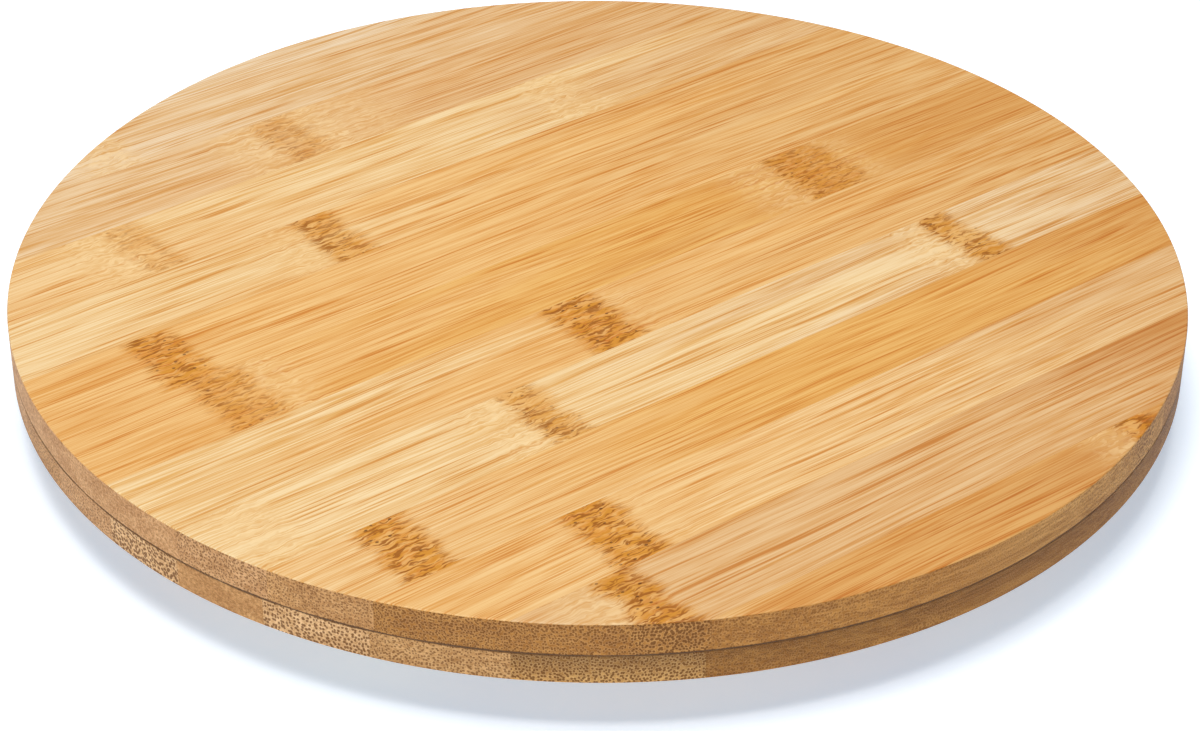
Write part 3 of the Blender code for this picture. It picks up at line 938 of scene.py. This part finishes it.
def raceway(wall_radius, outward):
    """The groove's points from bottom to top, where it stands clear of the wall at wall_radius."""
    reach = abs(wall_radius - ball_circle) / race_radius
    opening = math.degrees(math.acos(reach))
    if outward:
        return arc(ball_circle, race_height, race_radius, -opening, opening)
    return arc(ball_circle, race_height, race_radius, 180 + opening, 180 - opening)


# The outer ring, with countersunk screw holes and the hole that the balls go in through
outer_low, outer_high, _ = box_of("bearing_outer_ring")
_, cage_high, _ = box_of("ball_cage")
cage_outer = cage_high.x
outer_bore = cage_outer + SEAT_GAP
screws = nodes_named("board_screw")
screw_low, screw_high, _ = box_of(screws[0])
head_radius = (screw_high.x - screw_low.x) / 2
shank_radius = head_radius / 2
outer_ring = lathe(
    "turned_outer_ring",
    [
        (outer_bore + RING_CHAMFER, outer_low.z),
        (outer_high.x - RING_CHAMFER, outer_low.z),
        (outer_high.x, outer_low.z + RING_CHAMFER),
        (outer_high.x, outer_high.z - RING_CHAMFER),
        (outer_high.x - RING_CHAMFER, outer_high.z),
        (outer_bore + RING_CHAMFER, outer_high.z),
        (outer_bore, outer_high.z - RING_CHAMFER),
        *reversed(raceway(outer_bore, True)),
        (outer_bore, outer_low.z + RING_CHAMFER),
    ],
    RING_FACETS,
)
hole_radius = shank_radius + SEAT_GAP
sink_radius = head_radius + SEAT_GAP
sink_top = screw_low.z + SCREW_HEAD_RIM + sink_radius - hole_radius
countersink = lathe(
    "countersink",
    [
        (0, -outer_low.z),
        (sink_radius, -outer_low.z),
        (sink_radius, screw_low.z + SCREW_HEAD_RIM),
        (hole_radius, sink_top),
        (hole_radius, outer_high.z + outer_low.z),
        (0, outer_high.z + outer_low.z),
    ],
    SMALL_FACETS,
)
screw_places = places_at("screw_places", middles_of(screws, 0.0))
bored(outer_ring, countersink, screw_places, aluminium)
plug_low, plug_high, plug_middle = box_of("ball_fill_plug")
plug_radius = (plug_high.z - plug_low.z) / 2
filling_drill = lathe(
    "filling_drill",
    [
        (0, ball_circle),
        (plug_radius + SEAT_GAP, ball_circle),
        (plug_radius + SEAT_GAP, outer_high.x * 1.1),
        (0, outer_high.x * 1.1),
    ],
    SMALL_FACETS,
)
plug_place = places_at("plug_place", [(0, 0, plug_middle.z)], [(0, math.pi / 2, 0)])
bored(outer_ring, filling_drill, plug_place, aluminium)
fitted(outer_ring, [countersink, filling_drill], "tray", "aluminium", "bearing_outer_ring")

# The inner ring, with a stepped hole for each foot
inner_low, inner_high, _ = box_of("bearing_inner_ring")
feet = nodes_named("rubber_foot")
foot_low, foot_high, foot_middle = box_of(feet[0])
foot_circle = math.hypot(foot_middle.x, foot_middle.y)
foot_radius = (foot_high.x - foot_low.x) / 2
inner_bore = foot_circle - foot_radius - INNER_RING_MARGIN
inner_ring = lathe(
    "turned_inner_ring",
    [
        (inner_bore + RING_CHAMFER, inner_low.z),
        (inner_high.x - RING_CHAMFER, inner_low.z),
        (inner_high.x, inner_low.z + RING_CHAMFER),
        *raceway(inner_high.x, False),
        (inner_high.x, inner_high.z - RING_CHAMFER),
        (inner_high.x - RING_CHAMFER, inner_high.z),
        (inner_bore + RING_CHAMFER, inner_high.z),
        (inner_bore, inner_high.z - RING_CHAMFER),
        (inner_bore, inner_low.z + RING_CHAMFER),
    ],
    RING_FACETS,
)
shelf = foot_high.z - FOOT_BULB_HEIGHT - SEAT_GAP
foot_drill = lathe(
    "foot_drill",
    [
        (0, 0),
        (FOOT_STEM_RADIUS + SEAT_GAP, 0),
        (FOOT_STEM_RADIUS + SEAT_GAP, shelf),
        (FOOT_BULB_RADIUS + SEAT_GAP, shelf),
        (FOOT_BULB_RADIUS + SEAT_GAP, inner_high.z * 2),
        (0, inner_high.z * 2),
    ],
    SMALL_FACETS,
)
foot_places = places_at("foot_places", middles_of(feet, 0.0))
bored(inner_ring, foot_drill, foot_places, aluminium)
fitted(inner_ring, [foot_drill], "base", "aluminium", "bearing_inner_ring")

# The cage, with a round pocket for each ball, and the balls
cage_low, _, _ = box_of("ball_cage")
cage_inner = cage_outer - CAGE_THICKNESS
cage = lathe(
    "pocketed_cage",
    [
        (cage_inner + CAGE_CHAMFER, cage_low.z),
        (cage_outer - CAGE_CHAMFER, cage_low.z),
        (cage_outer, cage_low.z + CAGE_CHAMFER),
        (cage_outer, cage_high.z - CAGE_CHAMFER),
        (cage_outer - CAGE_CHAMFER, cage_high.z),
        (cage_inner + CAGE_CHAMFER, cage_high.z),
        (cage_inner, cage_high.z - CAGE_CHAMFER),
        (cage_inner, cage_low.z + CAGE_CHAMFER),
    ],
    RING_FACETS,
)
ball_spots = middles_of(balls)
pocket_radius = ball_radius + SEAT_GAP
pocket_drill = lathe(
    "pocket_drill",
    [
        (0, -CAGE_THICKNESS),
        (pocket_radius, -CAGE_THICKNESS),
        (pocket_radius, CAGE_THICKNESS),
        (0, CAGE_THICKNESS),
    ],
    SMALL_FACETS,
)
pocket_turns = [(0, math.pi / 2, angle) for _, _, angle in radially(ball_spots)]
ball_places = places_at("ball_places", ball_spots, pocket_turns)
bored(cage, pocket_drill, ball_places, natural_nylon())
fitted(cage, [pocket_drill], "cage", "cage_nylon", "ball_cage")

one_ball = lathe(
    "one_ball",
    [(0, -ball_radius), *arc(0, 0, ball_radius, -90, 90, BALL_FACETS // 2)[1:-1], (0, ball_radius)],
    BALL_FACETS,
)
steel_balls = repeated("steel_balls", one_ball, ball_places, polished_steel())
fitted(steel_balls, [one_ball, ball_places], "cage", "ball_steel", *balls)


def cross_cutter(name):
    """A cross with four arms, narrower at the bottom of the recess, which is its upper end."""
    arm, side = RECESS_SPAN / 2, RECESS_WIDTH / 2
    quarter = [(arm, -side), (arm, side), (side, side)]
    outline = []
    for _ in range(4):
        outline += quarter
        quarter = [(-y, x) for x, y in quarter]
    corners = []
    for scale, height in ((1.0, -RECESS_DEPTH), (1.0, 0), (RECESS_TAPER, RECESS_DEPTH)):
        corners += [(x * scale, y * scale, height) for x, y in outline]
    count = len(outline)
    faces = [list(range(count))[::-1], list(range(2 * count, 3 * count))]
    for low in (0, count):
        for corner in range(count):
            here, after = low + corner, low + (corner + 1) % count
            faces.append((here, after, after + count, here + count))
    mesh = bpy.data.meshes.new(name)
    mesh.from_pydata(corners, [], faces)
    return new_object(name, mesh)


def thread_radius(radius, height, angle):
    """A thread's radius: a ridge that climbs once for each pitch."""
    if height < thread_start or radius > shank_radius:
        return radius
    turn = (height / THREAD_PITCH - angle / math.tau) % 1.0
    ridge = max(0.0, 1 - abs(turn - 0.5) * 4)
    return radius * (THREAD_CORE + (1 - THREAD_CORE) * ridge)


# The screws, with a cross recess and a thread
neck = screw_low.z + SCREW_HEAD_RIM + head_radius - shank_radius
thread_start = neck + THREAD_PITCH
row_height = THREAD_PITCH / THREAD_ROWS
thread_rows = int((screw_high.z - neck) / row_height)
thread_profile = []
for row in range(1, thread_rows):
    height = neck + row * row_height
    taper = min(1.0, (screw_high.z - height) / SCREW_TIP_LENGTH)
    thread_profile.append((shank_radius * max(taper, 0.1), height))
one_screw = lathe(
    "one_screw",
    [
        (0, screw_low.z),
        (head_radius, screw_low.z),
        (head_radius, screw_low.z + SCREW_HEAD_RIM),
        (shank_radius, neck),
        *thread_profile,
        (0, screw_high.z),
    ],
    SCREW_FACETS,
    thread_radius,
)
recess = cross_cutter("recess")
recess_place = places_at("recess_place", [(0, 0, screw_low.z)])
bored(one_screw, recess, recess_place, zinc)
flatten(one_screw)
board_screws = repeated("countersunk_screws", one_screw, screw_places, zinc)
helpers = [one_screw, recess, recess_place]
fitted(board_screws, helpers, "tray", "zinc_plated_steel", *screws)

# The plies, the lower one with a pilot hole for each screw
pilot_drill = lathe(
    "pilot_drill",
    [
        (0, lower_low.z - SEAT_GAP),
        (hole_radius, lower_low.z - SEAT_GAP),
        (hole_radius, screw_high.z + SEAT_GAP),
        (0, screw_high.z + SEAT_GAP),
    ],
    SMALL_FACETS,
)
strips_tree = glued_strips_tree()
upper = make_ply(
    "upper_board",
    "upper_ply",
    upper_low.z,
    upper_high.z,
    upper_high.z,
    UPPER_STRIPS,
    bamboo_face("bamboo_lacquered", 0.40),
    bamboo_edge("bamboo_end_grain_upper", upper_high.z * MM, (upper_high.z - upper_low.z) * MM),
)
lower = make_ply(
    "lower_board",
    "lower_ply",
    lower_low.z,
    lower_high.z,
    lower_low.z,
    LOWER_STRIPS,
    bamboo_face("bamboo_oiled", 0.52),
    bamboo_edge("bamboo_end_grain_lower", lower_low.z * MM, (lower_high.z - lower_low.z) * MM),
    (pilot_drill, screw_places),
)
bpy.data.objects.remove(pilot_drill)
bpy.data.objects.remove(screw_places)


def socket_radius(radius, height, angle):
    """A hexagon for the rows of the socket, round for the rest."""
    if radius != SOCKET_RADIUS:
        return radius
    from_corner = (angle - math.pi / SMALL_FACETS) % (math.pi / 3)
    return radius * math.cos(math.pi / 6) / math.cos(from_corner - math.pi / 6)


# The plug in the filling hole, with a hexagon socket
plug = lathe(
    "socket_plug",
    [
        (0, plug_low.x),
        (plug_radius - RING_CHAMFER, plug_low.x),
        (plug_radius, plug_low.x + RING_CHAMFER),
        (plug_radius, plug_high.x - RING_CHAMFER),
        (plug_radius - RING_CHAMFER, plug_high.x),
        (SOCKET_RADIUS, plug_high.x),
        (SOCKET_RADIUS, plug_high.x - SOCKET_DEPTH),
        (0, plug_high.x - SOCKET_DEPTH - SOCKET_RADIUS / 3),
    ],
    SMALL_FACETS,
    socket_radius,
)
socket_plug = repeated("filling_plug", plug, plug_place, zinc)
fitted(socket_plug, [plug, plug_place], "tray", "zinc_plated_steel", "ball_fill_plug")

# The feet: a pad with a dished, grooved sole, and a stem with a bulb that holds it in its hole
bulb_low = foot_high.z - FOOT_BULB_HEIGHT
pad_middle = (foot_radius - TOP_ROUNDING, FOOT_PAD_HEIGHT - TOP_ROUNDING)
pad_rounding = arc(*pad_middle, TOP_ROUNDING, 0, 90, ROUNDING_FACETS)
bulb_middle = (FOOT_BULB_RADIUS - BULB_ROUNDING, bulb_low + BULB_ROUNDING)
bulb_rounding = arc(*bulb_middle, BULB_ROUNDING, -90, 0, ROUNDING_FACETS)
sole_heights = (SOLE_DISH, 0, 0, SOLE_GROOVE, SOLE_GROOVE, 0)
sole = [(foot_radius * ring, height) for ring, height in zip(SOLE_RINGS, sole_heights)]
one_foot = lathe(
    "one_foot",
    [
        (0, SOLE_DISH),
        *sole,
        *arc(foot_radius - FOOT_ROUNDING, FOOT_ROUNDING, FOOT_ROUNDING, -90, 0),
        *pad_rounding,
        (FOOT_STEM_RADIUS, FOOT_PAD_HEIGHT),
        (FOOT_STEM_RADIUS, bulb_low),
        *bulb_rounding,
        (BULB_TOP_RADIUS, foot_high.z),
        (0, foot_high.z),
    ],
    SMALL_FACETS,
)
push_in_feet = repeated("push_in_feet", one_foot, foot_places, foot_rubber())
fitted(push_in_feet, [one_foot, foot_places], "base", "foot_rubber", *feet)


def make_stage():
    """A floor that glows white, a white sky and the softboxes."""
    floor_bm = bmesh.new()
    bmesh.ops.create_grid(floor_bm, x_segments=1, y_segments=1, size=FLOOR_REACH)
    floor = new_object("floor", mesh_from(floor_bm, "floor"))
    work = Finish("lit_white_floor", roughness=1.0, emission_strength=1.0)
    work.shader.inputs["Specular IOR Level"].default_value = 0.0
    far = work.from_axis().step(*GLOW_CHANGES)
    glow = work.mix(far, NEAR_GLOW, FAR_GLOW)
    floor.data.materials.append(work.finish(base_color=(0.8, 0.8, 0.8), emission_color=glow))

    world = bpy.data.worlds.new("studio")
    world.use_nodes = True
    bpy.context.scene.world = world
    sky = Wiring(world.node_tree)
    seen = sky.node("ShaderNodeLightPath", output="Is Camera Ray")
    background = world.node_tree.nodes["Background"]
    sky.feed(background.inputs["Color"], (1.0, 1.0, 1.0))
    sky.feed(background.inputs["Strength"], seen * (SKY_SEEN - SKY_LIGHT) + SKY_LIGHT)

    for softbox in SOFTBOXES:
        add_softbox(*softbox)


def add_softbox(name, place, size, power):
    """A square area light that faces the board."""
    light = bpy.data.lights.new(name, "AREA")
    light.size = size
    light.energy = power
    softbox = bpy.data.objects.new(name, light)
    turn = Matrix.Rotation(math.radians(CAMERA_AZIMUTH), 3, "Z")
    softbox.location = turn @ Vector(place)
    softbox.rotation_euler = (-softbox.location).to_track_quat("-Z", "Y").to_euler()
    bpy.context.scene.collection.objects.link(softbox)


def make_camera():
    """The camera, set for the main view."""
    azimuth = math.radians(CAMERA_AZIMUTH)
    elevation = math.radians(CAMERA_ELEVATION)
    level = math.cos(elevation)
    ahead = Vector((-math.sin(azimuth) * level, math.cos(azimuth) * level, -math.sin(elevation)))
    data = bpy.data.cameras.new("camera")
    data.lens = CAMERA_LENS
    data.clip_start = 0.01
    camera = bpy.data.objects.new("camera", data)
    aim = Vector((*CAMERA_AIM, upper_high.z))
    camera.location = aim - ahead * CAMERA_DISTANCE
    roll = Matrix.Rotation(math.radians(CAMERA_ROLL), 4, "Z")
    camera.rotation_euler = (ahead.to_track_quat("-Z", "Y").to_matrix().to_4x4() @ roll).to_euler()
    bpy.context.scene.collection.objects.link(camera)
    bpy.context.scene.camera = camera


make_stage()
make_camera()
bpy.context.scene.view_settings.view_transform = "Standard"
